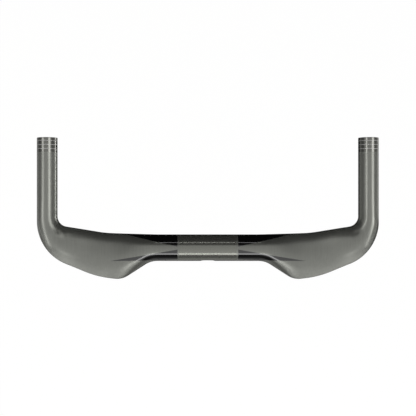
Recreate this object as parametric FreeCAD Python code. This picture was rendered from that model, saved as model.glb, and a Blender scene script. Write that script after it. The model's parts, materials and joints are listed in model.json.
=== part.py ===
import FreeCAD, Part
import math
import os

from FreeCAD import Vector

# Bullhorn handlebar: one hollow carbon moulding. A round barrel is held by the stem,
# flat wings sweep outwards and down from it, and straight round grips point forward.
# Millimetres. The origin is the middle of the barrel, +X along it, +Y forward, +Z up.

# Barrel and grips
barrel_diameter = 31.8
barrel_length = 120.0
grip_diameter = 25.4
grip_spacing = 400.0  # from one grip's axis to the other's
reach = 135.0  # from the barrel's axis forward to the grip ends
drop = 38.0  # from the barrel's axis down to the grips' axes

# Front edge of a wing seen from above, measured from the barrel's end and its axis
nose_out = 64.9
nose_y = 17.3
nose_radius = 150.0
inner_bend_y = 26.3
inner_bend_radius = 13.0

# Rear edge of a wing seen from above, measured from the barrel's end and its axis
flank_out = 8.4
flank_radius = 27.0
hump_out = 44.2
hump_y = -39.2
hump_radius = 27.0
crown_out = 77.0
crown_y = -36.3
crown_radius = 125.0
outer_bend_y = -8.3
outer_bend_radius = 56.0

# Cross-section of a wing: two half ellipses that meet at its thickest place, the rear one
# pared down to a thin edge
wing_thickness = 20.0
wing_crest = 0.44  # that place, as a share of the chord from the front edge
round_crest = 0.5  # and where the bar is round
tail_taper = 0.75  # the share of an ellipse's height that is pared away at the rear edge
round_to_flat = 60.0  # from the barrel's end to where the wing is fully flat
flat_to_round = 45.0  # from where it starts to round up again to the grip's axis
wing_sections = 16
bend_sections = 9

# Walls
barrel_wall = 2.6
wing_wall = 2.0
wing_tail_wall = 5.0  # along the chord, where the upper and lower walls meet
grip_wall = 2.2

# Cable port in the rear of the barrel, and the edges
port_width = 17.0
port_height = 9.5
port_rim_radius = 0.8
grip_end_chamfer = 0.4

# Places that follow from the sizes
barrel_radius = barrel_diameter / 2
barrel_end = barrel_length / 2
grip_radius = grip_diameter / 2
grip_x = grip_spacing / 2
bore_radius = grip_radius - grip_wall
section_degree = 6  # of the polynomials that give a quarter of a section
most_of_run = 0.49  # the share of a straight run that one corner's arc may take
on_edge = 0.01  # how near a point counts as lying on an edge


def rounded_rail(corners):
    """An edge of the bar in plan, as a wire, and the arcs that round its corners.

    Each corner is x, y and radius. A radius is limited by the straight runs beside it.
    """
    points = [Vector(x, y, 0) for x, y, radius in corners]
    edges = []
    arcs = []
    start = points[0]
    for i in range(1, len(points) - 1):
        corner = points[i]
        back = points[i - 1] - corner
        ahead = points[i + 1] - corner
        half_turn = (math.pi - back.getAngle(ahead)) / 2
        longest_tangent = most_of_run * min(back.Length, ahead.Length)
        tangent = min(corners[i][2] * math.tan(half_turn), longest_tangent)
        radius = tangent / math.tan(half_turn)
        back.normalize()
        ahead.normalize()
        centre = corner + (back + ahead).normalize() * (radius / math.cos(half_turn))
        middle = centre + (corner - centre).normalize() * radius
        arc = Part.ArcOfCircle(corner + back * tangent, middle, corner + ahead * tangent)
        edges.append(Part.makeLine(start, arc.StartPoint))
        edges.append(arc.toShape())
        arcs.append(arc)
        start = arc.EndPoint
    edges.append(Part.makeLine(start, points[-1]))
    return Part.Wire(edges), arcs


def front_rail():
    inner_x = grip_x - grip_radius
    return rounded_rail([
        (barrel_end, barrel_radius, 0),
        (barrel_end + nose_out, nose_y, nose_radius),
        (inner_x, inner_bend_y, inner_bend_radius),
        (inner_x, reach, 0),
    ])


def rear_rail():
    outer_x = grip_x + grip_radius
    return rounded_rail([
        (0, -barrel_radius, 0),
        (barrel_end + flank_out, -barrel_radius, flank_radius),
        (barrel_end + hump_out, hump_y, hump_radius),
        (barrel_end + crown_out, crown_y, crown_radius),
        (outer_x, outer_bend_y, outer_bend_radius),
        (outer_x, reach, 0),
    ])


def ease(share):
    """A smooth step from 0 to 1."""
    share = min(max(share, 0.0), 1.0)
    return share * share * (3 - 2 * share)


def product(first, second):
    """The Bernstein coefficients of the product of two polynomials, from theirs."""
    m = len(first) - 1
    n = len(second) - 1
    coefficients = []
    for k in range(m + n + 1):
        terms = [
            first[i] * second[k - i] * math.comb(m, i) * math.comb(n, k - i)
            for i in range(max(0, k - n), min(m, k) + 1)
        ]
        coefficients.append(sum(terms) / math.comb(m + n, k))
    return coefficients


def quarter_shares():
    """Polynomials over one shared weight that give a quarter of a section.

    Their ratios to the weight are a cosine, a sine, and the sine times the squared cosine,
    which is what is pared away where the section tapers.
    """
    bend = math.cos(math.pi / 4)
    weight, cosine, sine = [1, bend, 1], [0, bend, 1], [1, bend, 0]
    squared = product(weight, weight)
    return (
        product(weight, squared),
        product(cosine, squared),
        product(sine, squared),
        product(sine, product(cosine, cosine)),
    )


def section_quarter(crest, end, height, taper):
    """Control points of a quarter section, from over the crest to the front or rear end."""
    return [
        crest + (end - crest) * (run / weight) + height * ((rise - taper * pared) / weight)
        for weight, run, rise, pared in zip(*quarter_shares())
    ]


def between(at_barrel, on_wing, at_grip, flattened, rounded):
    """A size that goes from its value at the barrel to the wing's and then to the grip's."""
    size = at_barrel + (on_wing - at_barrel) * flattened
    return size + (at_grip - size) * rounded


def cross_section(front, rear, inset):
    """The control points round the bar, from its front edge over the top to its rear edge
    and back underneath.

    The inset is 0 for the outer skin and 1 for the inside of the wall. The rear edge stays
    thin until the section turns towards the grip.
    """
    x = (front.x + rear.x) / 2
    rearward = (rear - front).normalize()
    flattened = ease((x - barrel_end) / round_to_flat)
    rounded = ease((x - grip_x + flat_to_round) / flat_to_round)
    turned = ease(1 + rearward.y)
    wall = inset * between(barrel_wall, wing_wall, grip_wall, flattened, rounded)
    tail_wall = inset * between(barrel_wall, wing_tail_wall, grip_wall, flattened, turned)
    thickness = between(barrel_diameter, wing_thickness, grip_diameter, flattened, rounded)
    crest_share = between(round_crest, wing_crest, round_crest, flattened, rounded)
    taper = between(0, tail_taper, 0, flattened, turned)
    height = Vector(0, 0, thickness / 2 - wall)
    fall = Vector(0, 0, -drop * ease((x - barrel_end) / (grip_x - barrel_end)))
    nose = front + rearward * wall + fall
    tail = rear - rearward * tail_wall + fall
    crest = nose + (tail - nose) * crest_share
    quarters = [
        section_quarter(crest, nose, height, 0)[::-1],
        section_quarter(crest, tail, height, taper),
        section_quarter(crest, tail, -height, taper)[::-1],
        section_quarter(crest, nose, -height, 0),
    ]
    return [point for quarter in quarters for point in quarter[:section_degree]]


def plan_stations():
    """Pairs of points on the front and rear rails, from the barrel's end to the grip.

    Along the wing they face each other across the chord. Round the bend they lie on
    rays from a pivot inside it, which turn from the wing's direction to the grip's.
    """
    front, front_arcs = front_rail()
    rear, rear_arcs = rear_rail()
    grip_start = max(front_arcs[-1].EndPoint.y, rear_arcs[-1].EndPoint.y)
    pivot = Vector(front_arcs[-1].Center.x, grip_start, 0)
    rays = []
    for i in range(wing_sections):
        x = barrel_end + (pivot.x - barrel_end) * i / (wing_sections - 1)
        rays.append((Vector(x, grip_start, 0), Vector(0, -1, 0)))
    for i in range(1, bend_sections + 1):
        turn = math.pi / 2 * i / bend_sections
        rays.append((pivot, Vector(math.sin(turn), -math.cos(turn), 0)))
    stations = []
    for origin, direction in rays:
        ray = Part.makeLine(origin, origin + direction * grip_spacing)
        stations.append([rail.distToShape(ray)[1][0][0] for rail in (front, rear)])
    return stations, grip_start


def smooth_slopes(points, gaps, first, last):
    """The slopes at the points of the smoothest curve through them, from the end slopes.

    The gaps are the curve's parameter steps. Each slope depends on its neighbours', so
    one pass forward and one back solve them all.
    """
    slopes = [first]
    carry = [0.0]
    for i in range(1, len(gaps)):
        before, after = gaps[i - 1], gaps[i]
        pull = (points[i] - points[i - 1]) * (3 * after / before)
        pull += (points[i + 1] - points[i]) * (3 * before / after)
        weight = 2 * (before + after) - after * carry[-1]
        slopes.append((pull - slopes[-1] * after) / weight)
        carry.append(before / weight)
    slopes.append(last)
    for i in range(len(gaps) - 1, 0, -1):
        slopes[i] -= slopes[i + 1] * carry[i]
    return slopes


def lengthwise_poles(points, gaps):
    """Control points of a smooth curve through like points of all the sections.

    It leaves along the barrel and arrives along the grip, so the skin is tangent to both.
    """
    first = Vector((points[1].x - points[0].x) / gaps[0], 0, 0)
    last = Vector(0, (points[-1].y - points[-2].y) / gaps[-1], 0)
    slopes = smooth_slopes(points, gaps, first, last)
    poles = [points[0]]
    for i, gap in enumerate(gaps):
        poles.append(points[i] + slopes[i] * (gap / 3))
        poles.append(points[i + 1] - slopes[i + 1] * (gap / 3))
    return poles + [points[-1]]


def quarter_skin(rows, gaps):
    """The surface between two lengthwise curves, a quarter of every section."""
    knots = [sum(gaps[:i]) for i in range(len(gaps) + 1)]
    skin = Part.BSplineSurface()
    skin.buildFromPolesMultsKnots(
        rows,
        [section_degree + 1] * 2,
        [4] + [2] * (len(gaps) - 1) + [4],
        [0, 1],
        knots,
        False,
        False,
        section_degree,
        3,
        [[weight] * len(rows[0]) for weight in quarter_shares()[0]],
    )
    return skin


def lofted_wing(sections):
    """A closed solid through the sections, with flat ends at the barrel and the grip."""
    gaps = []
    for near, far in zip(sections, sections[1:]):
        nose_gap = near[0].distanceToPoint(far[0])
        tail = 2 * section_degree
        tail_gap = near[tail].distanceToPoint(far[tail])
        gaps.append((nose_gap + tail_gap) / 2)
    rows = [lengthwise_poles(points, gaps) for points in zip(*sections)]
    rows.append(rows[0])
    starts = range(0, len(rows) - 1, section_degree)
    skins = [quarter_skin(rows[i:i + section_degree + 1], gaps) for i in starts]
    faces = [skin.toShape() for skin in skins]
    for end in (0, sum(gaps)):
        rim = Part.Wire([skin.vIso(end).toShape() for skin in skins])
        faces.append(Part.Face(rim))
    shell = Part.Shell(faces)
    shell.sewShape()
    return Part.Solid(shell)


def half_form(inset, barrel_r, grip_r, grip_end):
    """The right half of the bar's outside or of its hollow, as one solid."""
    stations, grip_start = plan_stations()
    wing = lofted_wing([cross_section(front, rear, inset) for front, rear in stations])
    barrel = Part.makeCylinder(barrel_r, barrel_end, Vector(0, 0, 0), Vector(1, 0, 0))
    grip = Part.makeCylinder(grip_r, grip_end - grip_start, Vector(grip_x, grip_start, -drop), Vector(0, 1, 0))
    return barrel.fuse([wing, grip])


def cable_port():
    """A slot with round ends that goes through the rear wall of the barrel."""
    r = port_height / 2
    side = port_width / 2 - r
    outline = Part.Wire([
        Part.makeLine(Vector(-side, 0, -r), Vector(side, 0, -r)),
        Part.ArcOfCircle(Vector(side, 0, -r), Vector(side + r, 0, 0), Vector(side, 0, r)).toShape(),
        Part.makeLine(Vector(side, 0, r), Vector(-side, 0, r)),
        Part.ArcOfCircle(Vector(-side, 0, r), Vector(-side - r, 0, 0), Vector(-side, 0, -r)).toShape(),
    ])
    return Part.Face(outline).extrude(Vector(0, -barrel_diameter, 0))


def on_port_rim(edge):
    """Whether an edge of the bar is part of the port's rim on the outer skin."""
    box = edge.BoundBox
    across = max(-box.XMin, box.XMax) < port_width / 2 + on_edge
    upright = max(-box.ZMin, box.ZMax) < port_height / 2 + on_edge
    corner = edge.Vertexes[0]
    outside = math.hypot(corner.Y, corner.Z) > barrel_radius - on_edge
    return across and upright and outside


def on_grip_end(edge):
    return edge.BoundBox.YMin > reach - on_edge


def handlebar():
    outside = half_form(0, barrel_radius, grip_radius, reach)
    hollow = half_form(1, barrel_radius - barrel_wall, bore_radius, reach + grip_diameter)
    half = outside.cut(hollow)
    bar = half.fuse(half.mirror(Vector(0, 0, 0), Vector(1, 0, 0)))
    bar = bar.cut(cable_port())
    bar = bar.makeFillet(port_rim_radius, [edge for edge in bar.Edges if on_port_rim(edge)])
    return bar.makeChamfer(grip_end_chamfer, [edge for edge in bar.Edges if on_grip_end(edge)])


os.makedirs("parts", exist_ok=True)
bar = handlebar()
print("valid", bar.isValid(), "solids", len(bar.Solids), "faces", len(bar.Faces))
print("volume", bar.Volume, "box", bar.BoundBox)
bar.exportStep("parts/handlebar.step")
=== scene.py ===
# %% [markdown]
# # A bullhorn handlebar in carbon fibre
# This bar is one hollow moulding. A round barrel sits in the stem, flat wings sweep out
# and down from it, and round grips point forward. Its shape follows a rule: a section
# that is round, then flat, then round again runs between a front edge and a rear edge.
# The lesson draws those two edges, lets Geometry Nodes stretch the skin between them,
# cuts the cable port, and then finishes and lights the carbon.

# %% Load the frame
import json
import math

import bmesh
import bpy
from mathutils import Matrix, Vector


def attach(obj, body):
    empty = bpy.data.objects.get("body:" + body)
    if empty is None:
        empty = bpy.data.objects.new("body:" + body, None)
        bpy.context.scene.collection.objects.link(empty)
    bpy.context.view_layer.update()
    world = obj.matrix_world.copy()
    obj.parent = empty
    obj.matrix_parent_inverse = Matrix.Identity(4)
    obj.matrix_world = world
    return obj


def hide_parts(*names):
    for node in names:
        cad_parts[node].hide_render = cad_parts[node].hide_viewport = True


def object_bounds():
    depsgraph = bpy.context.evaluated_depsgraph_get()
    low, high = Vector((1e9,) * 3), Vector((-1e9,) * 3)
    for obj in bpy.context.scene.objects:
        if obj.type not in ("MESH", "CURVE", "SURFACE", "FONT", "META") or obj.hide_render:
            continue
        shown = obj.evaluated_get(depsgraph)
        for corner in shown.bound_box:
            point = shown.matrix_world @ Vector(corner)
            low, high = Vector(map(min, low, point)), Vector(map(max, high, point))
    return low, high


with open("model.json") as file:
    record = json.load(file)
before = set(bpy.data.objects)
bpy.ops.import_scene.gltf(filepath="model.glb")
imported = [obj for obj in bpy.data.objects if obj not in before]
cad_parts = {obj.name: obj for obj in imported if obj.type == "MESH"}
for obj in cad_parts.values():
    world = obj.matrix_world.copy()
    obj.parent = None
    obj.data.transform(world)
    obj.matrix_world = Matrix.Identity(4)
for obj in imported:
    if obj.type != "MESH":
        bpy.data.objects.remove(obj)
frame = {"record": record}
cad_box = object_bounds()
MM = 0.001
print("CAD box in mm:", [[round(v / MM, 1) for v in corner] for corner in cad_box])

# %% [markdown]
# ## Sizes
# Sizes that other parts must fit come from the frame: the barrel for the stem, the
# grips, and the bore for the brake lever's plug. The lines of the wing are style, so
# they stand here as the designer would note them, in millimetres from the barrel's end
# and its axis.

# %% Sizes that the frame gives
mounts = {mount["name"]: mount for mount in frame["record"]["mounts"]}
barrel_radius = mounts["stem_clamp"]["dims"]["r_mm"]
barrel_end = mounts["stem_clamp"]["dims"]["length_mm"] / 2
grip_radius = mounts["right_grip"]["dims"]["r_mm"]
grip_x = mounts["right_grip"]["pos_m"][0] / MM
drop = -mounts["right_grip"]["pos_m"][2] / MM
grip_wall = grip_radius - mounts["right_lever_bore"]["dims"]["r_mm"]
reach = cad_box[1].y / MM
print("barrel", 2 * barrel_radius, "grip", 2 * grip_radius, "reach", round(reach, 1), "drop", drop)

# %% Sizes that are style
nose_x, nose_y, nose_radius = barrel_end + 64.9, 17.3, 150.0
inner_x, inner_bend_y, inner_bend_radius = grip_x - grip_radius, 26.3, 13.0
flank_x, flank_radius = barrel_end + 8.4, 27.0
hump_x, hump_y, hump_radius = barrel_end + 44.2, -39.2, 27.0
crown_x, crown_y, crown_radius = barrel_end + 77.0, -36.3, 125.0
outer_x, outer_bend_y, outer_bend_radius = grip_x + grip_radius, -8.3, 56.0
round_to_flat, flat_to_round = 60.0, 45.0
barrel_wall, wing_wall, tail_wall = 2.6, 2.0, 5.0
wing_thickness, wing_crest, round_crest, tail_taper = 20.0, 0.44, 0.5, 0.75
tip_chamfer = 0.4
print("the wing is", round(nose_y - hump_y, 1), "deep and", wing_thickness, "thick")

# %% [markdown]
# ## The two edges
# Seen from above, the bar is the space between a front edge and a rear edge. Each is a
# few straight runs with rounded corners. A Blender curve can hold that neatly: a poly
# spline keeps the corners, and every point's radius tells how far that corner is
# rounded later. The edges run a little past the middle and the grip's end, so that a
# ray fired at them never slips off.

# %% Draw the edges as one curve object
overrun = 5.0
front_edge = [
    (-overrun, barrel_radius, 0),
    (barrel_end, barrel_radius, 0),
    (nose_x, nose_y, nose_radius),
    (inner_x, inner_bend_y, inner_bend_radius),
    (inner_x, reach + overrun, 0),
]
rear_edge = [
    (-overrun, -barrel_radius, 0),
    (flank_x, -barrel_radius, flank_radius),
    (hump_x, hump_y, hump_radius),
    (crown_x, crown_y, crown_radius),
    (outer_x, outer_bend_y, outer_bend_radius),
    (outer_x, reach + overrun, 0),
]
edges = bpy.data.curves.new("plan_edges", "CURVE")
edges.dimensions = "3D"
for corners in (front_edge, rear_edge):
    spline = edges.splines.new("POLY")
    spline.points.add(len(corners) - 1)
    for point, (x, y, radius) in zip(spline.points, corners):
        point.co = (x * MM, y * MM, 0, 1)
        point.radius = radius * MM
bar = bpy.data.objects.new("handlebar_skin", edges)
bpy.context.scene.collection.objects.link(bar)
print("edges drawn with", len(front_edge), "and", len(rear_edge), "corners")

# %% [markdown]
# ## One helper for every node
# Node trees get long in Python. One small function adds a node, gives it its settings,
# and fills each input either with a value or with a link from another node. It takes
# the first input of that name that is switched on, because a node such as Mix keeps a
# hidden set of inputs for every type of data.


# %% Add a node with its settings and links
def add(tree, kind, inputs=None, **settings):
    node = tree.nodes.new(kind)
    for name, value in settings.items():
        setattr(node, name, value)
    for name, value in (inputs or {}).items():
        if isinstance(name, int):
            socket = node.inputs[name]
        else:
            socket = next(s for s in node.inputs if s.name == name and s.enabled)
        if isinstance(value, bpy.types.Node):
            value = next(s for s in value.outputs if s.enabled)
        if isinstance(value, bpy.types.NodeSocket):
            tree.links.new(value, socket)
        else:
            socket.default_value = value
    return node


print("every node is made by", add.__name__)

# %% [markdown]
# ## The skin as a node tree
# A loft in a CAD program needs sections. Here each section is a row, one point of a plain
# mesh line, and the row's number says where it stands: along the barrel, along the wing,
# round the bend, or along the grip. Map Range nodes turn the number into a ray, and two
# Raycasts find where the ray meets the front edge and the rear edge. That is the same
# rule as the CAD model's, so the skin lies on the same surface.

# %% Where the rows stand
barrel_rows, wing_rows, bend_rows, grip_rows = 15, 46, 30, 12
wing_last = barrel_rows + wing_rows
bend_last = wing_last + bend_rows
grip_last = bend_last + grip_rows
points_round = 96
pivot_x = inner_x - inner_bend_radius
bend_turn = math.pi / 2 - math.atan2(inner_bend_y - nose_y, inner_x - nose_x)
grip_start = inner_bend_y + inner_bend_radius * math.tan(bend_turn / 2)
print("rows:", grip_last, "the bend turns about x", round(pivot_x, 1), "to y", round(grip_start, 1))

# %% Start the tree with named inputs
tree = bpy.data.node_groups.new("lofted_bar", "GeometryNodeTree")
for in_out in ("OUTPUT", "INPUT"):
    tree.interface.new_socket("Geometry", in_out=in_out, socket_type="NodeSocketGeometry")
sizes = {
    "Barrel Last Row": barrel_rows,
    "Wing Last Row": wing_last,
    "Bend Last Row": bend_last,
    "Grip Last Row": grip_last,
    "Points Round": points_round,
    "Barrel End": barrel_end * MM,
    "Pivot X": pivot_x * MM,
    "Grip Start": grip_start * MM,
    "Grip X": grip_x * MM,
    "Reach": reach * MM,
    "Drop": drop * MM,
    "Flat From": (barrel_end + round_to_flat) * MM,
    "Flat To": (grip_x - flat_to_round) * MM,
    "Tip Chamfer": tip_chamfer * MM,
    "Barrel Section": (barrel_radius * MM, barrel_wall * MM, round_crest),
    "Wing Section": (wing_thickness / 2 * MM, wing_wall * MM, wing_crest),
    "Grip Section": (grip_radius * MM, grip_wall * MM, round_crest),
    "Barrel Tail": (barrel_wall * MM, 0.0, 0.0),
    "Wing Tail": (tail_wall * MM, tail_taper, 0.0),
    "Grip Tail": (grip_wall * MM, 0.0, 0.0),
}
socket_kinds = {int: "NodeSocketInt", float: "NodeSocketFloat", tuple: "NodeSocketVector"}
for name, value in sizes.items():
    tree.interface.new_socket(name, in_out="INPUT", socket_type=socket_kinds[type(value)])
for name in ("Outer Finish", "Inner Finish"):
    tree.interface.new_socket(name, in_out="INPUT", socket_type="NodeSocketMaterial")
size = add(tree, "NodeGroupInput").outputs
print("sizes that the tree takes:", len(sizes))

# %% Round the corners and raise each edge into a wall
corner_points, wall_height = 64, 0.1
corner_radius = add(tree, "GeometryNodeInputRadius")
rounded = add(
    tree,
    "GeometryNodeFilletCurve",
    {
        "Curve": size["Geometry"],
        "Radius": corner_radius,
        "Count": corner_points,
        "Limit Radius": True,
    },
    mode="POLY",
)
spline_number = add(tree, "GeometryNodeInputIndex")
split = add(
    tree,
    "GeometryNodeSeparateGeometry",
    {"Geometry": rounded, "Selection": spline_number},
    domain="CURVE",
)
to_foot = (0, 0, -wall_height / 2)
upwards = add(tree, "ShaderNodeCombineXYZ", {"Z": 1.0})
walls = []
for edge in (split.outputs["Inverted"], split.outputs["Selection"]):
    line = add(tree, "GeometryNodeCurveToMesh", {"Curve": edge})
    low = add(tree, "GeometryNodeTransform", {"Geometry": line, "Translation": to_foot})
    wall = add(
        tree,
        "GeometryNodeExtrudeMesh",
        {"Mesh": low, "Offset": upwards, "Offset Scale": wall_height},
        mode="EDGES",
    )
    walls.append(wall)
print("walls:", len(walls))

# %% Share the row numbers out to the stretches of the bar
rows = add(tree, "ShaderNodeMath", {0: size["Grip Last Row"], 1: 2.0}, operation="ADD")
spine = add(tree, "GeometryNodeMeshLine", {"Count": rows, "Offset": (0, 0, MM)})
spine = add(tree, "GeometryNodeMeshToCurve", {"Mesh": spine})
row = add(tree, "GeometryNodeInputIndex")
wing_length = add(
    tree, "ShaderNodeMath", {0: size["Pivot X"], 1: size["Barrel End"]}, operation="SUBTRACT"
)
chamfer_start = add(
    tree, "ShaderNodeMath", {0: size["Reach"], 1: size["Tip Chamfer"]}, operation="SUBTRACT"
)
tip_row = add(tree, "ShaderNodeMath", {0: size["Grip Last Row"], 1: 1.0}, operation="ADD")
stretches = {}
for name, first_row, last_row, start, end in (
    ("barrel", 0.0, size["Barrel Last Row"], 0.0, size["Barrel End"]),
    ("wing", size["Barrel Last Row"], size["Wing Last Row"], 0.0, wing_length),
    ("bend", size["Wing Last Row"], size["Bend Last Row"], 0.0, math.pi / 2),
    ("grip", size["Bend Last Row"], size["Grip Last Row"], size["Grip Start"], chamfer_start),
    ("tip", size["Grip Last Row"], tip_row, 0.0, size["Tip Chamfer"]),
):
    limits = {"From Min": first_row, "From Max": last_row, "To Min": start, "To Max": end}
    stretches[name] = add(tree, "ShaderNodeMapRange", {"Value": row, **limits})
tip = stretches["tip"]
print("stretches:", list(stretches))

# %% Fire each row's ray at both walls
ray_x = add(
    tree, "ShaderNodeMath", {0: stretches["barrel"], 1: stretches["wing"]}, operation="ADD"
)
ray_y = add(tree, "ShaderNodeMath", {0: stretches["grip"], 1: tip}, operation="ADD")
ray_start = add(tree, "ShaderNodeCombineXYZ", {"X": ray_x, "Y": ray_y})
ray_direction = add(
    tree,
    "ShaderNodeVectorRotate",
    {"Vector": (0, -1, 0), "Angle": stretches["bend"]},
    rotation_type="Z_AXIS",
)
ray_length = 1.0
hits = []
for wall in walls:
    ray = {
        "Target Geometry": wall,
        "Source Position": ray_start,
        "Ray Direction": ray_direction,
        "Ray Length": ray_length,
    }
    hits.append(add(tree, "GeometryNodeRaycast", ray).outputs["Hit Position"])
print("tree nodes so far:", len(tree.nodes))

# %% [markdown]
# ## From two edge points to a whole section
# Where a ray meets the edges gives the section's nose and tail. Three sizes belong to a
# section: half its height, its wall, and where along the chord it is thickest. They are
# packed in one vector, so that one Mix node eases all three from barrel to wing and a
# second one from wing to grip. The tail has two more, its solid depth and how far it is
# pared to a thin edge, and they hold on until the ray turns towards the grip.

# %% How flat, how round and how low each row is
middle = add(
    tree, "ShaderNodeMix", {"Factor": 0.5, "A": hits[0], "B": hits[1]}, data_type="VECTOR"
)
middle_x = add(tree, "ShaderNodeSeparateXYZ", {"Vector": middle}).outputs["X"]
chord = add(tree, "ShaderNodeVectorMath", {0: hits[1], 1: hits[0]}, operation="SUBTRACT")
rearward = add(tree, "ShaderNodeVectorMath", {0: chord}, operation="NORMALIZE")
rearward_y = add(tree, "ShaderNodeSeparateXYZ", {"Vector": rearward}).outputs["Y"]
shares = {}
for name, value, start, end in (
    ("flat", middle_x, size["Barrel End"], size["Flat From"]),
    ("round", middle_x, size["Flat To"], size["Grip X"]),
    ("sunk", middle_x, size["Barrel End"], size["Grip X"]),
    ("turned", rearward_y, -1.0, 0.0),
):
    shares[name] = add(
        tree,
        "ShaderNodeMapRange",
        {"Value": value, "From Min": start, "From Max": end},
        interpolation_type="SMOOTHSTEP",
    )
print("shares that ease along the bar:", list(shares))

# %% Ease the sizes from barrel to wing to grip
eased = {}
for kind, last_share in (("Section", shares["round"]), ("Tail", shares["turned"])):
    blend = add(
        tree,
        "ShaderNodeMix",
        {"Factor": shares["flat"], "A": size[f"Barrel {kind}"], "B": size[f"Wing {kind}"]},
        data_type="VECTOR",
    )
    blend = add(
        tree,
        "ShaderNodeMix",
        {"Factor": last_share, "A": blend, "B": size[f"Grip {kind}"]},
        data_type="VECTOR",
    )
    eased[kind] = add(tree, "ShaderNodeSeparateXYZ", {"Vector": blend}).outputs
half_height, wall_here, crest_share = eased["Section"]
tail_depth, taper, _ = eased["Tail"]
fall = add(tree, "ShaderNodeMath", {0: shares["sunk"], 1: size["Drop"]}, operation="MULTIPLY")
fall = add(tree, "ShaderNodeMath", {0: 0.0, 1: fall}, operation="SUBTRACT")
fall = add(tree, "ShaderNodeCombineXYZ", {"Z": fall})
print("tree nodes so far:", len(tree.nodes))

# %% [markdown]
# ## Skins for the outside and the inside
# A moulded tube has two skins: the outside, and the same shape moved in by the wall. Each
# gets its own copy of the spine, on which its nose, tail, crest and height are stored by
# name, because Curve to Mesh hands such values on to the mesh. A circle profile gives every
# row 96 points. Each point knows its place on the circle, and one formula bends the circle
# to the section: its cosine reaches from the crest to the nose or the tail, and its sine
# gives the height. Towards a wing's tail, the square of the cosine pares some of that
# height away.

# %% Nose, tail, crest and height of each skin
inner_inset = add(tree, "ShaderNodeMath", {0: wall_here, 1: tip}, operation="SUBTRACT")
inner_tail_inset = add(tree, "ShaderNodeMath", {0: tail_depth, 1: tip}, operation="SUBTRACT")
spines = []
for inset, tail_inset in ((tip, tip), (inner_inset, inner_tail_inset)):
    margin = add(tree, "ShaderNodeVectorMath", {0: rearward, "Scale": inset}, operation="SCALE")
    nose = add(tree, "ShaderNodeVectorMath", {0: hits[0], 1: margin}, operation="ADD")
    margin = add(
        tree, "ShaderNodeVectorMath", {0: rearward, "Scale": tail_inset}, operation="SCALE"
    )
    tail = add(tree, "ShaderNodeVectorMath", {0: hits[1], 1: margin}, operation="SUBTRACT")
    crest = add(
        tree, "ShaderNodeMix", {"Factor": crest_share, "A": nose, "B": tail}, data_type="VECTOR"
    )
    height = add(tree, "ShaderNodeMath", {0: half_height, 1: inset}, operation="SUBTRACT")
    skin_spine = spine
    for name, value in (("nose", nose), ("tail", tail), ("crest", crest)):
        sunk_point = add(tree, "ShaderNodeVectorMath", {0: value, 1: fall}, operation="ADD")
        skin_spine = add(
            tree,
            "GeometryNodeStoreNamedAttribute",
            {"Geometry": skin_spine, "Name": name, "Value": sunk_point},
            data_type="FLOAT_VECTOR",
        )
    for name, value in (("height", height), ("taper", taper)):
        skin_spine = add(
            tree,
            "GeometryNodeStoreNamedAttribute",
            {"Geometry": skin_spine, "Name": name, "Value": value},
            data_type="FLOAT",
        )
    spines.append(skin_spine)
print("spines:", len(spines))

# %% A circle that knows its own sine and cosine
profile = add(
    tree,
    "GeometryNodeCurvePrimitiveCircle",
    {"Resolution": size["Points Round"], "Radius": 1.0},
    mode="RADIUS",
)
profile = add(
    tree,
    "GeometryNodeStoreNamedAttribute",
    {
        "Geometry": profile.outputs["Curve"],
        "Name": "rim",
        "Value": add(tree, "GeometryNodeInputPosition"),
    },
    data_type="FLOAT_VECTOR",
)
rim = add(tree, "GeometryNodeInputNamedAttribute", {"Name": "rim"}, data_type="FLOAT_VECTOR")
cosine, sine, _ = add(tree, "ShaderNodeSeparateXYZ", {"Vector": rim}).outputs
to_nose = add(tree, "ShaderNodeMath", {0: cosine, 1: 0.0}, operation="MAXIMUM")
to_tail = add(tree, "ShaderNodeMath", {0: cosine, 1: -1.0}, operation="MULTIPLY")
to_tail = add(tree, "ShaderNodeMath", {0: to_tail, 1: 0.0}, operation="MAXIMUM")
tail_squared = add(tree, "ShaderNodeMath", {0: to_tail, 1: to_tail}, operation="MULTIPLY")
print("tree nodes so far:", len(tree.nodes))

# %% The formula that bends the circle to the section
points = {
    name: add(tree, "GeometryNodeInputNamedAttribute", {"Name": name}, data_type="FLOAT_VECTOR")
    for name in ("nose", "tail", "crest")
}
amounts = {
    name: add(tree, "GeometryNodeInputNamedAttribute", {"Name": name}, data_type="FLOAT")
    for name in ("height", "taper")
}
place = points["crest"]
for end, share in (("nose", to_nose), ("tail", to_tail)):
    arm = {0: points[end], 1: points["crest"]}
    arm = add(tree, "ShaderNodeVectorMath", arm, operation="SUBTRACT")
    arm = add(tree, "ShaderNodeVectorMath", {0: arm, "Scale": share}, operation="SCALE")
    place = add(tree, "ShaderNodeVectorMath", {0: place, 1: arm}, operation="ADD")
pared = add(tree, "ShaderNodeMath", {0: amounts["taper"], 1: tail_squared}, operation="MULTIPLY")
kept = add(tree, "ShaderNodeMath", {0: 1.0, 1: pared}, operation="SUBTRACT")
rise = add(tree, "ShaderNodeMath", {0: amounts["height"], 1: sine}, operation="MULTIPLY")
rise = add(tree, "ShaderNodeMath", {0: rise, 1: kept}, operation="MULTIPLY")
rise = add(tree, "ShaderNodeCombineXYZ", {"Z": rise})
place = add(tree, "ShaderNodeVectorMath", {0: place, 1: rise}, operation="ADD")
print("tree nodes so far:", len(tree.nodes))

# %% Wrap a skin round each spine
skins = []
for skin_spine, is_inside in zip(spines, (False, True)):
    tube = add(tree, "GeometryNodeCurveToMesh", {"Curve": skin_spine, "Profile Curve": profile})
    skin = add(tree, "GeometryNodeSetPosition", {"Geometry": tube, "Position": place})
    skin = add(
        tree,
        "GeometryNodeStoreNamedAttribute",
        {"Geometry": skin, "Name": "inside", "Value": is_inside},
        data_type="BOOLEAN",
        domain="FACE",
    )
    skins.append(skin)
print("skins:", len(skins))

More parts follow.
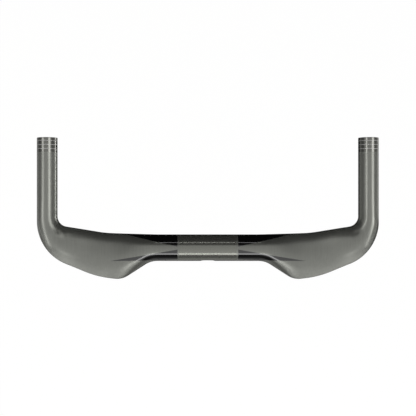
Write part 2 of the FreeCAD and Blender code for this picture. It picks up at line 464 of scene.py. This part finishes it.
# %% [markdown]
# ## Two halves and two finishes
# Only the right half is made so far. The left one is its mirror image, with its faces
# flipped so that they still point outwards. The seam in the middle is merged. Each skin
# takes its own finish, chosen by the value "inside" that its faces carry.

# %% Mirror, join and finish the tree
seam_gap = 0.01 * MM
half = add(tree, "GeometryNodeJoinGeometry")
for skin in reversed(skins):
    tree.links.new(skin.outputs["Geometry"], half.inputs["Geometry"])
mirrored = add(tree, "GeometryNodeTransform", {"Geometry": half, "Scale": (-1, 1, 1)})
mirrored = add(tree, "GeometryNodeFlipFaces", {"Mesh": mirrored})
whole = add(tree, "GeometryNodeJoinGeometry")
for part in (mirrored, half):
    tree.links.new(part.outputs[0], whole.inputs["Geometry"])
merged = add(tree, "GeometryNodeMergeByDistance", {"Geometry": whole, "Distance": seam_gap})
smooth = add(tree, "GeometryNodeSetShadeSmooth", {"Geometry": merged, "Shade Smooth": True})
realized = add(tree, "GeometryNodeRealizeInstances", {"Geometry": smooth})
inside = add(tree, "GeometryNodeInputNamedAttribute", {"Name": "inside"}, data_type="BOOLEAN")
finished = add(
    tree, "GeometryNodeSetMaterial", {"Geometry": realized, "Material": size["Outer Finish"]}
)
finished = add(
    tree,
    "GeometryNodeSetMaterial",
    {"Geometry": finished, "Selection": inside, "Material": size["Inner Finish"]},
)
add(tree, "NodeGroupOutput", {"Geometry": finished})
print("the whole tree has", len(tree.nodes), "nodes")

# %% [markdown]
# ## Colours
# Colours are noted as sRGB hex values, the way a colour picker shows them. Shaders work
# in linear light, so one function converts them.


# %% Turn a hex colour into linear light
def linear(hex_colour):
    channels = [int(hex_colour[i : i + 2], 16) / 255 for i in (1, 3, 5)]
    curved = [c / 12.92 if c <= 0.04045 else ((c + 0.055) / 1.055) ** 2.4 for c in channels]
    return (*curved, 1.0)


print("#808080 in linear light:", round(linear("#808080")[0], 3))

# %% [markdown]
# ## Satin carbon
# The outside is unidirectional carbon fibre under a satin clear coat. Graphite fibre
# conducts, so it shines like a dark metal and not like a plastic: where nothing bright
# is reflected it goes nearly black. Faint streaks follow the fibre from front to rear.
# A real fibre is 0.007 mm thick, too fine to show, so the streaks stand for whole tows.
# The stretch that the stem holds is left gritty, for grip, and its grit too is drawn
# coarser than the real one, so that it shows. Gloss blades are printed on the top of the
# wings, the grip ends carry a gloss band with cut-guide rings, and their sawn faces are
# matt. All of these are places on the bar, so they are worked out from Object
# coordinates in millimetres.

# %% Sizes of the finish
streak_width, streak_length = 1.6, 70.0
clamp_half_width, grit_size, grit_height = 33.7, 0.625, 0.006
band_length, ring_pitch, first_ring, ring_width = 18.0, 5.0, 4.0, 0.8
cut_depth = 0.05
blade_start, blade_end = 36.0, 120.0
front_blade = ((40.0, 0.0), (2.0, 0.22))
rear_blade = ((-1.5, -0.18), (-13.5, -0.034))
ring_count = int((band_length - first_ring) // ring_pitch) + 1
print("rings on each grip:", ring_count)

# %% Places on the bar in millimetres
carbon = bpy.data.materials.new("satin_unidirectional_carbon")
carbon.use_nodes = True
finish = carbon.node_tree
finish.nodes.clear()
coords = add(finish, "ShaderNodeTexCoord").outputs["Object"]
in_mm = add(finish, "ShaderNodeVectorMath", {0: coords, "Scale": 1 / MM}, operation="SCALE")
x_mm, y_mm, _ = add(finish, "ShaderNodeSeparateXYZ", {"Vector": in_mm}).outputs
side_mm = add(finish, "ShaderNodeMath", {0: x_mm}, operation="ABSOLUTE")
from_tip = add(finish, "ShaderNodeMath", {0: reach, 1: y_mm}, operation="SUBTRACT")
in_clamp = add(finish, "ShaderNodeMath", {0: side_mm, 1: clamp_half_width}, operation="LESS_THAN")
in_band = add(finish, "ShaderNodeMath", {0: from_tip, 1: band_length}, operation="LESS_THAN")
on_cut = add(finish, "ShaderNodeMath", {0: from_tip, 1: cut_depth}, operation="LESS_THAN")
past_ring = add(
    finish, "ShaderNodeMath", {0: from_tip, 1: ring_pitch - first_ring}, operation="ADD"
)
past_ring = add(finish, "ShaderNodeMath", {0: past_ring, 1: ring_pitch / 2}, operation="PINGPONG")
on_ring = add(finish, "ShaderNodeMath", {0: past_ring, 1: ring_width / 2}, operation="LESS_THAN")
on_ring = add(finish, "ShaderNodeMath", {0: on_ring, 1: in_band}, operation="MULTIPLY")
print("finish nodes so far:", len(finish.nodes))

# %% Two gloss blades on each wing
past_start = add(finish, "ShaderNodeMath", {0: side_mm, 1: blade_start}, operation="SUBTRACT")
after_start = add(finish, "ShaderNodeMath", {0: past_start, 1: 0.0}, operation="GREATER_THAN")
before_end = add(finish, "ShaderNodeMath", {0: side_mm, 1: blade_end}, operation="LESS_THAN")
rim_place = add(finish, "ShaderNodeAttribute", attribute_name="rim").outputs["Vector"]
rim_sine = add(finish, "ShaderNodeSeparateXYZ", {"Vector": rim_place}).outputs["Y"]
on_top = add(finish, "ShaderNodeMath", {0: rim_sine, 1: 0.0}, operation="GREATER_THAN")
on_top = add(finish, "ShaderNodeMath", {0: on_top, 1: after_start}, operation="MULTIPLY")
on_top = add(finish, "ShaderNodeMath", {0: on_top, 1: before_end}, operation="MULTIPLY")
in_blades = []
for blade in (front_blade, rear_blade):
    borders = []
    for start, slope in blade:
        border = {0: past_start, 1: slope, 2: start}
        borders.append(add(finish, "ShaderNodeMath", border, operation="MULTIPLY_ADD"))
    under = add(finish, "ShaderNodeMath", {0: y_mm, 1: borders[0]}, operation="LESS_THAN")
    over = add(finish, "ShaderNodeMath", {0: y_mm, 1: borders[1]}, operation="GREATER_THAN")
    in_blades.append(add(finish, "ShaderNodeMath", {0: under, 1: over}, operation="MULTIPLY"))
on_blade = add(finish, "ShaderNodeMath", {0: in_blades[0], 1: in_blades[1]}, operation="MAXIMUM")
on_blade = add(finish, "ShaderNodeMath", {0: on_blade, 1: on_top}, operation="MULTIPLY")
print("finish nodes so far:", len(finish.nodes))

# %% Streaks of the fibre
dark_streak, light_streak = "#646560", "#747570"
smooth_streak, rough_streak = 0.24, 0.28
graphite_share = 0.7
streak_steps = (1 / streak_width, 1 / streak_length, 1 / streak_width)
streak_place = add(
    finish, "ShaderNodeVectorMath", {0: in_mm, 1: streak_steps}, operation="MULTIPLY"
)
streaks = add(
    finish, "ShaderNodeTexNoise", {"Vector": streak_place, "Scale": 1.0, "Detail": 3.0}
)
colour = add(
    finish,
    "ShaderNodeMix",
    {"Factor": streaks, "A": linear(dark_streak), "B": linear(light_streak)},
    data_type="RGBA",
)
roughness = add(
    finish,
    "ShaderNodeMapRange",
    {"Value": streaks, "To Min": smooth_streak, "To Max": rough_streak},
)
print("streaks", streak_width, "by", streak_length, "mm, from", dark_streak, "to", light_streak)

# %% Lay the other finishes over the streaks
for mask, tint, mask_roughness, mask_graphite in (
    (in_clamp, "#6e6f69", 0.2, 0.75),
    (on_blade, "#464646", 0.06, 1.0),
    (in_band, "#686864", 0.18, 0.98),
    (on_ring, "#8c8c8a", 0.35, 0.5),
    (on_cut, "#4a4a47", 0.6, 0.0),
):
    tinted = {"Factor": mask, "A": colour, "B": linear(tint)}
    colour = add(finish, "ShaderNodeMix", tinted, data_type="RGBA")
    smoothed = {"Factor": mask, "A": roughness, "B": mask_roughness}
    roughness = add(finish, "ShaderNodeMix", smoothed, data_type="FLOAT")
    shared = {"Factor": mask, "A": graphite_share, "B": mask_graphite}
    graphite_share = add(finish, "ShaderNodeMix", shared, data_type="FLOAT")
grit = add(
    finish, "ShaderNodeTexNoise", {"Vector": in_mm, "Scale": 1 / grit_size, "Detail": 2.0}
)
grit = add(finish, "ShaderNodeMath", {0: grit, 1: in_clamp}, operation="MULTIPLY")
bump = add(
    finish, "ShaderNodeBump", {"Height": grit, "Strength": 0.6, "Distance": grit_height * MM}
)
shader = add(
    finish,
    "ShaderNodeBsdfPrincipled",
    {"Base Color": colour, "Roughness": roughness, "Normal": bump, "Metallic": graphite_share},
)
add(finish, "ShaderNodeOutputMaterial", {"Surface": shader})
print("the whole finish has", len(finish.nodes), "nodes")

# %% [markdown]
# ## Raw laminate
# Inside the bar nothing was polished. The bladder that pressed the plies out leaves a
# dull, slightly wrinkled resin face, which shows at the grip ends and in the port. It is
# no metal to the eye, because resin covers the fibre, so it keeps Metallic at 0.

# %% Finish of the inside
wrinkle_width, wrinkle_depth = 6.0, 0.4
dark_resin, light_resin = "#1c1c1b", "#2a2a28"
smooth_resin, dull_resin = 0.45, 0.7
raw = bpy.data.materials.new("raw_carbon_laminate")
raw.use_nodes = True
inner_finish = raw.node_tree
inner_finish.nodes.clear()
inner_place = add(inner_finish, "ShaderNodeTexCoord").outputs["Object"]
wrinkle_scale = 1 / (wrinkle_width * MM)
wrinkles = add(
    inner_finish,
    "ShaderNodeTexNoise",
    {"Vector": inner_place, "Scale": wrinkle_scale, "Detail": 3.0, "Distortion": 1.0},
)
inner_bump = add(
    inner_finish,
    "ShaderNodeBump",
    {"Height": wrinkles, "Strength": 0.8, "Distance": wrinkle_depth * MM},
)
inner_roughness = add(
    inner_finish,
    "ShaderNodeMapRange",
    {"Value": wrinkles, "To Min": smooth_resin, "To Max": dull_resin},
)
inner_colour = add(
    inner_finish,
    "ShaderNodeMix",
    {"Factor": wrinkles, "A": linear(dark_resin), "B": linear(light_resin)},
    data_type="RGBA",
)
inner_shader = add(
    inner_finish,
    "ShaderNodeBsdfPrincipled",
    {"Base Color": inner_colour, "Roughness": inner_roughness, "Normal": inner_bump},
)
add(inner_finish, "ShaderNodeOutputMaterial", {"Surface": inner_shader})
print("wrinkles", wrinkle_width, "mm wide,", len(inner_finish.nodes), "nodes")

# %% [markdown]
# ## Run the tree
# The modifier's inputs are set by each socket's identifier, before Blender evaluates it
# for the first time. The result is then copied to a plain mesh, so that nothing live is
# left on the finished piece. The empty material slot that comes first goes, and of the
# stored values only "rim" stays, because the finish reads it.

# %% Evaluate the tree into a mesh
modifier = bar.modifiers.new("lofted_bar", "NODES")
modifier.node_group = tree
values = {**sizes, "Outer Finish": carbon, "Inner Finish": raw}
for item in tree.interface.items_tree:
    if item.in_out == "INPUT" and item.name in values:
        modifier[item.identifier] = values[item.name]
evaluated = bar.evaluated_get(bpy.context.evaluated_depsgraph_get())
skin_mesh = bpy.data.meshes.new_from_object(evaluated)
bar.modifiers.remove(modifier)
bpy.data.objects.remove(bar)
skin_mesh.name = "carbon_bar"
skin_mesh.materials.pop(index=0)
for name in ("nose", "tail", "crest", "height", "taper", "inside"):
    skin_mesh.attributes.remove(skin_mesh.attributes[name])
carbon_bar = bpy.data.objects.new("carbon_bar", skin_mesh)
bpy.context.scene.collection.objects.link(carbon_bar)
print("skin:", len(skin_mesh.vertices), "points,", [m.name for m in skin_mesh.materials])

# %% [markdown]
# ## Grip ends and cable port
# Two things are left open: the rims of the grip ends, and the slot in the rear of the
# barrel where the cables come out. A boolean would leave long thin faces round the
# slot, and a shiny barrel shows every one of them. So a rectangle of faces is taken out
# of each skin, and rings of quads run from its border to the slot, over its rounded rim
# and through the wall.

# %% Close the grip ends
outside, lining = 0, 1
bm = bmesh.new()
bm.from_mesh(skin_mesh)


def quads_between(near, far, finish_number):
    """A band of quads from one ring of points to another with as many."""
    for i in range(len(near)):
        face = bm.faces.new((near[i - 1], near[i], far[i], far[i - 1]))
        face.material_index = finish_number


def border_points(middle_x, middle_z, width=0.1):
    """The points of open edges, sorted by their angle round a middle seen along Y."""
    points = {v for e in bm.edges if e.is_boundary for v in e.verts}
    near = [v for v in points if abs(v.co.x - middle_x) < width / 2]
    return sorted(near, key=lambda v: math.atan2(round(v.co.z - middle_z, 6), v.co.x - middle_x))


mid_rim = (grip_radius - grip_wall / 2) * MM
for end_x in (-grip_x * MM, grip_x * MM):
    ends = border_points(end_x, -drop * MM)
    outer_ring = [v for v in ends if math.hypot(v.co.x - end_x, v.co.z + drop * MM) > mid_rim]
    inner_ring = [v for v in ends if v not in outer_ring]
    quads_between(outer_ring, inner_ring, outside)
print("open edges left:", sum(e.is_boundary for e in bm.edges))

# %% Take a rectangle out of both skins at the port
port_width, port_height, port_rim = 17.0 * MM, 9.5 * MM, 0.8 * MM
patch_half_length = 16.0 * MM
patch_columns = 13
patch_sine = math.sin(2 * math.pi * patch_columns / points_round)
outer_r, inner_r = barrel_radius * MM, (barrel_radius - barrel_wall) * MM
mid_wall = (outer_r + inner_r) / 2
patch = []
for face in bm.faces:
    x, y, z = face.calc_center_median()
    if abs(x) < patch_half_length and y < 0:
        if abs(z) < patch_sine * (outer_r if math.hypot(y, z) > mid_wall else inner_r):
            patch.append(face)
bmesh.ops.delete(bm, geom=patch, context="FACES")
order = border_points(0, 0)
outer_border = [v for v in order if math.hypot(v.co.y, v.co.z) > mid_wall]
inner_border = [v for v in order if math.hypot(v.co.y, v.co.z) <= mid_wall]
print("borders of the patch:", len(outer_border), "and", len(inner_border), "points")

# %% Points of the slot's outline
slot_r = port_height / 2
slot_side = port_width / 2 - slot_r
smallest = 1e-9


def slot_outline(x, z):
    """The slot's edge in the direction of x, z from its middle, and the way out from it."""
    scale = slot_r / max(abs(z), smallest)
    if abs(x) * scale > slot_side:
        length = math.hypot(x, z)
        along = abs(x) / length
        reach_out = slot_side * along + math.sqrt(slot_r**2 - (slot_side * z / length) ** 2)
        scale = reach_out / length
    edge = Vector((x * scale, z * scale))
    axis_point = Vector((max(-slot_side, min(slot_side, edge.x)), 0))
    return edge, (edge - axis_point).normalized()


def on_barrel_skin(plan, radius, depth=0.0):
    """The point of the barrel's rear at plan, an x and a z, moved in by depth."""
    return Vector((plan.x, depth - math.sqrt(radius**2 - plan.y**2), plan.y))


outline = [slot_outline(v.co.x, v.co.z) for v in outer_border]
print("slot outline:", len(outline), "points")

# %% Rings of quads from one skin to the other
rings = [outer_border]
for share in (0.25, 0.5, 0.75, 1.0):
    ring = []
    for v, (edge, out) in zip(outer_border, outline):
        plan = Vector((v.co.x, v.co.z)).lerp(edge + out * port_rim, share)
        ring.append(bm.verts.new(on_barrel_skin(plan, outer_r)))
    rings.append(ring)
for angle in (22.5, 45.0, 67.5, 90.0):
    turn_in = math.radians(angle)
    depth = port_rim * (1 - math.cos(turn_in))
    ring = []
    for edge, out in outline:
        plan = edge + out * port_rim * (1 - math.sin(turn_in))
        ring.append(bm.verts.new(on_barrel_skin(plan, outer_r, depth)))
    rings.append(ring)
lining_start = len(rings)
for share in (0.0, 0.33, 0.67):
    ring = []
    for v, (edge, out) in zip(inner_border, outline):
        plan = edge.lerp(Vector((v.co.x, v.co.z)), share)
        ring.append(bm.verts.new(on_barrel_skin(plan, inner_r)))
    rings.append(ring)
rings.append(inner_border)
for k, (near, far) in enumerate(zip(rings, rings[1:])):
    quads_between(near, far, lining if k >= lining_start else outside)
print("port rings:", len(rings), "open edges left:", sum(e.is_boundary for e in bm.edges))

# %% Tidy the normals and mark the crisp edges
bmesh.ops.recalc_face_normals(bm, faces=bm.faces)
for face in bm.faces:
    face.smooth = True
crisp = math.radians(30)
for edge in bm.edges:
    if edge.calc_face_angle(0.0) > crisp:
        edge.smooth = False
volume = bm.calc_volume(signed=True) / MM**3
triangles = sum(len(f.verts) - 2 for f in bm.faces)
bm.to_mesh(skin_mesh)
bm.free()
print("solid volume", round(volume), "cubic mm,", triangles, "triangles")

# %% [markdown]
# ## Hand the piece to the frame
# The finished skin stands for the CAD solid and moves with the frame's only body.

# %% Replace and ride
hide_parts("handlebar")
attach(carbon_bar, "root")
print("pieces that ride on root:", carbon_bar.name)

# %% [markdown]
# ## Studio
# The bar is photographed from straight above on white. The floor lies well below it, so
# its shadow is soft and faint. Camera and glossy rays see nine parts of white glow to one
# of plain paint, which keeps some of that shadow. Other rays see the paint alone.

# %% Floor
floor_z, floor_half = -0.35, 3.0
white_level, white_share = 1.02, 0.9
floor_mesh = bpy.data.meshes.new("studio_floor")
corners = [(-1, -1), (1, -1), (1, 1), (-1, 1)]
floor_mesh.from_pydata(
    [(x * floor_half, y * floor_half, floor_z) for x, y in corners], [], [(0, 1, 2, 3)]
)
floor = bpy.data.objects.new("studio_floor", floor_mesh)
bpy.context.scene.collection.objects.link(floor)
print("floor", 2 * floor_half, "m wide,", -floor_z, "m below the barrel")

# %% White studio paint
paint = bpy.data.materials.new("white_studio_paint")
paint.use_nodes = True
paint_tree = paint.node_tree
paint_tree.nodes.clear()
path = add(paint_tree, "ShaderNodeLightPath").outputs
seen = path["Is Camera Ray"]
for kind in ("Is Glossy Ray", "Is Transmission Ray"):
    seen = add(paint_tree, "ShaderNodeMath", {0: seen, 1: path[kind]}, operation="MAXIMUM")
seen = add(paint_tree, "ShaderNodeMath", {0: seen, 1: white_share}, operation="MULTIPLY")
matt = add(paint_tree, "ShaderNodeBsdfDiffuse", {"Color": linear("#f2f2f0")})
white = add(paint_tree, "ShaderNodeEmission", {"Color": (1, 1, 1, 1), "Strength": white_level})
mixed = add(paint_tree, "ShaderNodeMixShader", {0: seen, 1: matt, 2: white})
add(paint_tree, "ShaderNodeOutputMaterial", {"Surface": mixed})
floor_mesh.materials.append(paint)
print("paint nodes:", len(paint_tree.nodes))

# %% [markdown]
# ## Light
# Shiny round shapes show the studio itself, so the light is built as what the bar should
# reflect. A dome of soft grey light makes the broad tone on the wings. It is nearly black
# low in front, which shapes the nose of the wing, dim near the horizon, so that the grips
# get dark bands, and a little brighter to the rear.

# %% Levels of the dome
top_level, front_level = 1.0, 0.03
low_left_level, low_right_level = 0.28, 0.44
low_middle_share, full_side = 0.2, 0.7
low_height, top_height = 0.45, 0.62
rear_gain, gain_start, gain_end = 1.25, 0.1, -0.7
front_start, front_end = 0.32, 0.48
print("dome from", front_level, "in front to", top_level * rear_gain, "at the rear")

# %% Low part of the dome
world = bpy.data.worlds.new("studio_dome")
bpy.context.scene.world = world
world.use_nodes = True
dome = world.node_tree
dome.nodes.clear()
toward = add(dome, "ShaderNodeTexCoord").outputs["Generated"]
right, ahead, up = add(dome, "ShaderNodeSeparateXYZ", {"Vector": toward}).outputs
low_level = add(
    dome,
    "ShaderNodeMapRange",
    {"Value": right, "From Min": -1.0, "To Min": low_left_level, "To Max": low_right_level},
)
sideways = add(dome, "ShaderNodeMath", {0: right}, operation="ABSOLUTE")
side_share = add(
    dome,
    "ShaderNodeMapRange",
    {"Value": sideways, "From Max": full_side, "To Min": low_middle_share},
)
low_level = add(dome, "ShaderNodeMath", {0: low_level, 1: side_share}, operation="MULTIPLY")
print("dome nodes so far:", len(dome.nodes))

# %% Upper part of the dome
behind = add(dome, "ShaderNodeMath", {0: ahead, 1: -1.0}, operation="MULTIPLY")
behind = add(dome, "ShaderNodeMath", {0: behind, 1: 0.0}, operation="MAXIMUM")
dome_height = add(
    dome, "ShaderNodeMath", {0: sideways, 1: behind, 2: up}, operation="MULTIPLY_ADD"
)
height_share = add(
    dome,
    "ShaderNodeMapRange",
    {"Value": dome_height, "From Min": low_height, "From Max": top_height},
    interpolation_type="SMOOTHSTEP",
)
level = add(
    dome,
    "ShaderNodeMix",
    {"Factor": height_share, "A": low_level, "B": top_level},
    data_type="FLOAT",
)
rear_share = add(
    dome,
    "ShaderNodeMapRange",
    {"Value": ahead, "From Min": gain_start, "From Max": gain_end, "To Min": 1.0, "To Max": rear_gain},
)
level = add(dome, "ShaderNodeMath", {0: level, 1: rear_share}, operation="MULTIPLY")
front_share = add(
    dome,
    "ShaderNodeMapRange",
    {"Value": ahead, "From Min": front_start, "From Max": front_end},
    interpolation_type="SMOOTHSTEP",
)
level = add(
    dome,
    "ShaderNodeMix",
    {"Factor": front_share, "A": level, "B": front_level},
    data_type="FLOAT",
)
to_camera = add(dome, "ShaderNodeLightPath").outputs["Is Camera Ray"]
shown = {"Factor": to_camera, "A": level, "B": 1.0}
shown = add(dome, "ShaderNodeMix", shown, data_type="FLOAT")
sky = add(dome, "ShaderNodeBackground", {"Color": (1, 1, 1, 1), "Strength": shown})
add(dome, "ShaderNodeOutputWorld", {"Surface": sky})
print("the whole dome has", len(dome.nodes), "nodes")

# %% [markdown]
# ## Strip lamps
# Strip lamps draw the thin bright lines along the bar. Far ones behind and in front of it
# draw the two lines on the barrel, and lead the rear one out to the hump of the wing. Near
# ones follow the grips, the bend and the rear edge of the wing, the way a photographer
# leads a narrow softbox along a car's flank. Most of them come in pairs. Three stand on
# one side only, because a studio is seldom the same on both sides, and a bar lit quite
# evenly looks drawn. A lamp that the wing shouldn't show gets a grid, which keeps its
# light near its own axis: that is the spread of Blender's area lamp. No lamp is seen by
# the camera.


# %% A lamp between two points, first for the barrel
def strip_lamp(name, start, end, aim, width, radiance, grid=None):
    """A lamp from start to end that faces aim, maybe with a grid of so many degrees."""
    start, end, aim = Vector(start), Vector(end), Vector(aim)
    along = (end - start).normalized()
    middle = (start + end) / 2
    back = middle - aim
    back = (back - along * back.dot(along)).normalized()
    lamp = bpy.data.lights.new(name, "AREA")
    lamp.shape = "RECTANGLE"
    lamp.size = (end - start).length
    lamp.size_y = width
    lamp.energy = radiance * math.pi * lamp.size * width
    if grid:
        # A narrow spread squeezes the same energy into less room, so less energy is given.
        half_angle = math.radians(grid)
        lamp.spread = 2 * half_angle
        lamp.energy *= 1 - half_angle / math.tan(half_angle)
    lamp_object = bpy.data.objects.new(name, lamp)
    turned = Matrix((along, back.cross(along), back)).transposed()
    lamp_object.matrix_world = Matrix.Translation(middle) @ turned.to_4x4()
    lamp_object.visible_camera = False
    bpy.context.scene.collection.objects.link(lamp_object)


barrel_middle = (0, 0, 0)
rear_ends = (-0.6, -1.294, 0.94), (0.6, -1.294, 0.94)
front_ends = (-0.3, 1.17, 1.09), (0.3, 1.17, 1.09)
strip_lamp("rear_strip", *rear_ends, barrel_middle, 0.26, 4.4)
strip_lamp("front_strip", *front_ends, barrel_middle, 0.08, 3.4)
print("lamps:", len(bpy.data.lights))

# %% Lamps along the grips
lamp_distance, far_end, grip_grid = 0.12, 0.17, 40
for name, hand, angle, near_end, width, radiance in (
    ("left_grip_outer", -1, -36, 0.045, 0.03, 3.0),
    ("left_grip_inner", -1, 33.5, 0.03, 0.042, 3.9),
    ("right_grip_inner", 1, -30, 0.03, 0.019, 4.3),
    ("right_grip_outer", 1, 37.5, 0.045, 0.046, 3.8),
):
    axis = Vector((hand * grip_x * MM, 0, -drop * MM))
    tilt = math.radians(angle)
    lamp_place = axis + lamp_distance * Vector((math.sin(tilt), 0, math.cos(tilt)))
    lamp_ends = [lamp_place + Vector((0, y, 0)) for y in (near_end, far_end)]
    strip_lamp(name, *lamp_ends, axis, width, radiance, grip_grid)
print("lamps:", len(bpy.data.lights))

# %% Lamps round the bends and along the wings
edge_lamps = {
    "corner": ((0.6, -1.294, 0.92), (0.98, -1.18, 0.68), barrel_middle, 0.2, 3.6, None),
    "hump": ((0.98, -1.18, 0.68), (1.16, -1.1, 0.48), barrel_middle, 0.25, 1.2, None),
    "shoulder": ((0.272, 0.045, 0.059), (0.295, 0.0, 0.042), (0.205, 0.02, -0.034), 0.036, 3.6, 25),
    "bend": ((0.297, 0.0, 0.042), (0.293, -0.07, -0.035), (0.198, 0.01, -0.028), 0.018, 3.0, None),
    "tail": ((0.285, -0.087, -0.045), (0.2, -0.116, 0.013), (0.155, -0.025, -0.027), 0.014, 1.5, None),
}
for side, hand in (("left", -1), ("right", 1)):
    for name, (start, end, aim, width, radiance, grid) in edge_lamps.items():
        start, end, aim = [(hand * x, y, z) for x, y, z in (start, end, aim)]
        strip_lamp(f"{side}_{name}_strip", start, end, aim, width, radiance, grid)
print("lamps:", len(bpy.data.lights))

# %% Lamps on one side only
single_lamps = {
    "low_strip": (
        ((-0.05, 0.03, -0.114), (-0.05, 0.17, -0.114), (-0.2, 0.1, -0.038)),
        (0.02, 9.0, grip_grid),
    ),
    "left_inner_bend_strip": (
        ((-0.245, 0.075, 0.066), (-0.19, 0.075, 0.072), (-0.175, 0.013, -0.025)),
        (0.05, 2.4, 25),
    ),
    "right_bend_line_strip": (
        ((0.278, 0.04, 0.07), (0.316, -0.02, 0.006), (0.202, 0.024, -0.026)),
        (0.02, 5.5, 20),
    ),
}
for name, (places, settings) in single_lamps.items():
    strip_lamp(name, *places, *settings)
print("lamps:", len(bpy.data.lights))

# %% [markdown]
# ## Black cards
# A shiny object on white loses its edges, because they mirror the white floor. A
# photographer lays black cards just outside the picture, so that the edges reflect
# those, and white or grey ones where an edge should stay lighter. Here they are level
# planes over the floor that only glossy rays can see.


# %% Lay cards over the floor
def card(name, left, right, rear, front, lift, level):
    """A level plane over the floor, as bright as level, that only reflections show."""
    paper = bpy.data.materials.new(name)
    paper.use_nodes = True
    paper.node_tree.nodes.clear()
    glow = add(paper.node_tree, "ShaderNodeEmission", {"Color": (1, 1, 1, 1), "Strength": level})
    add(paper.node_tree, "ShaderNodeOutputMaterial", {"Surface": glow})
    corners = [(left, rear), (right, rear), (right, front), (left, front)]
    mesh = bpy.data.meshes.new(name)
    mesh.from_pydata([(x, y, floor_z + lift) for x, y in corners], [], [(0, 1, 2, 3)])
    mesh.materials.append(paper)
    plane = bpy.data.objects.new(name, mesh)
    bpy.context.scene.collection.objects.link(plane)
    plane.visible_camera = False
    plane.visible_diffuse = False
    plane.visible_shadow = False


black, grey, white_paper = 0.02, 0.55, 1.1
rim_of_floor, low_lift, upper_lift = 2.9, 0.01, 0.012
card("black_front_card", -rim_of_floor, rim_of_floor, 0.35, rim_of_floor, low_lift, black)
card("black_middle_card", -0.3, 0.3, -0.3, 0.35, low_lift, black)
card("black_left_card", -1.2, -0.12, -1.2, -0.2, upper_lift, black)
card("black_right_card", 0.12, 1.2, -1.2, 0.02, upper_lift, black)
card("grey_card", -rim_of_floor, -0.3, -0.2, 0.35, low_lift, grey)
card("grey_rear_card", -0.6, 0.6, -rim_of_floor, -0.3, low_lift, grey)
card("white_card", 0.45, rim_of_floor, 0.02, 0.35, low_lift, white_paper)
print("cards:", [name for name in bpy.data.meshes.keys() if name.endswith("card")])

# %% [markdown]
# ## Camera
# A long lens straight above, with no tilt, keeps the plan view true. It sits a little in
# front of the barrel, over the middle of the picture.

# %% Place the camera
lens_length, sensor_width = 75.42, 36.0
camera_place = (0.0002, 0.04765, 1.047)
camera_data = bpy.data.cameras.new("plan_camera")
camera_data.lens = lens_length
camera_data.sensor_width = sensor_width
camera = bpy.data.objects.new("plan_camera", camera_data)
camera.location = camera_place
bpy.context.scene.collection.objects.link(camera)
bpy.context.scene.camera = camera
bpy.context.scene.view_settings.view_transform = "Standard"
print("camera", camera_place[2], "m above the barrel, lens", lens_length, "mm")
